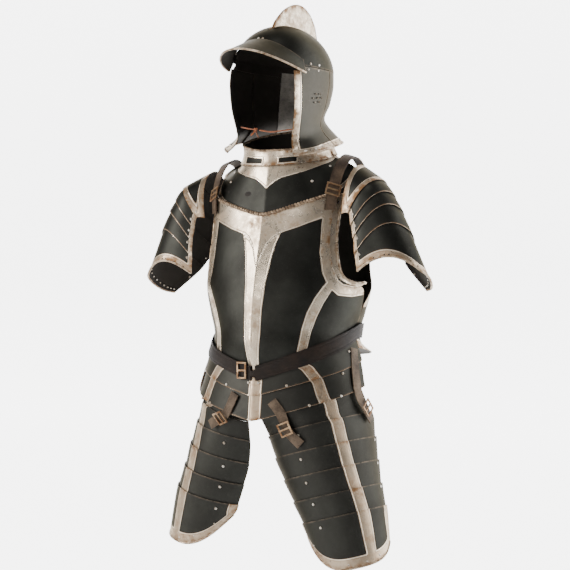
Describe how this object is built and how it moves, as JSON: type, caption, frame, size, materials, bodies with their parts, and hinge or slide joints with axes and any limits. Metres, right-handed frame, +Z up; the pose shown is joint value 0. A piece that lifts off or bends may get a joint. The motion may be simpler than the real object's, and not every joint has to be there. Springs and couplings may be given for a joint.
{
  "type": "suit of plate armour",
  "caption": "Black and white half armour: open burgonet, gorget, breastplate and backplate, fauld, long tassets and spaulder-type pauldrons, worn from head to thighs.",
  "frame": {"origin": "middle of the neck at the height of the shoulders, where the wearer carries the gorget", "axes": "+Z up, the armour faces -Y, +X is the wearer's left"},
  "size_m": [0.658, 0.3932, 1.1535],
  "materials": {
    "black_steel": "blackened steel with bright worn bands",
    "bright_steel": "polished steel, a little stained",
    "brown_leather": "old dark brown leather",
    "old_iron": "rusted iron",
    "lace": "orange-brown cord"
  },
  "bodies": {
    "harness": {"backplate": "black_steel", "belt": "brown_leather", "belt_buckle": "old_iron", "breastplate": "black_steel", "collar_back": "bright_steel", "collar_front": "bright_steel", "fauld_lame_1": "black_steel", "fauld_lame_2": "black_steel", "gorget_back": "black_steel", "gorget_front": "black_steel", "gusset_left": "bright_steel", "gusset_right": "bright_steel", "helmet_bowl": "black_steel", "helmet_peak": "black_steel", "neck_guard": "black_steel", "pauldron_left_1": "bright_steel", "pauldron_left_2": "black_steel", "pauldron_left_3": "black_steel", "pauldron_left_4": "black_steel", "pauldron_left_5": "black_steel", "pauldron_right_1": "bright_steel", "pauldron_right_2": "black_steel", "pauldron_right_3": "black_steel", "pauldron_right_4": "black_steel", "pauldron_right_5": "black_steel", "shoulder_buckle_left": "old_iron", "shoulder_buckle_right": "old_iron", "shoulder_strap_left": "brown_leather", "shoulder_strap_right": "brown_leather", "tasset_buckle_left_inner": "old_iron", "tasset_buckle_left_outer": "old_iron", "tasset_buckle_right_inner": "old_iron", "tasset_buckle_right_outer": "old_iron", "tasset_left_1": "black_steel", "tasset_left_2": "black_steel", "tasset_left_3": "black_steel", "tasset_left_4": "black_steel", "tasset_left_5": "black_steel", "tasset_left_6": "black_steel", "tasset_right_1": "black_steel", "tasset_right_2": "black_steel", "tasset_right_3": "black_steel", "tasset_right_4": "black_steel", "tasset_right_5": "black_steel", "tasset_right_6": "black_steel", "tasset_strap_left_inner": "brown_leather", "tasset_strap_left_outer": "brown_leather", "tasset_strap_right_inner": "brown_leather", "tasset_strap_right_outer": "brown_leather"},
    "cheek_left": {"cheek_left": "black_steel", "chin_lace_left": "lace"},
    "cheek_right": {"cheek_right": "black_steel", "chin_lace_right": "lace"}
  },
  "joints": [
    {"name": "cheek_left_hinge", "type": "hinge", "parent": "harness", "child": "cheek_left", "pos_m": [0.09943, -0.04634, 0.1986], "axis": [-0.1045, -0.9945, 0], "range_deg": [0, 75]},
    {"name": "cheek_right_hinge", "type": "hinge", "parent": "harness", "child": "cheek_right", "pos_m": [-0.09559, -0.02585, 0.21748], "axis": [0.1045, 0.9945, 0], "range_deg": [0, 75]}
  ]
}
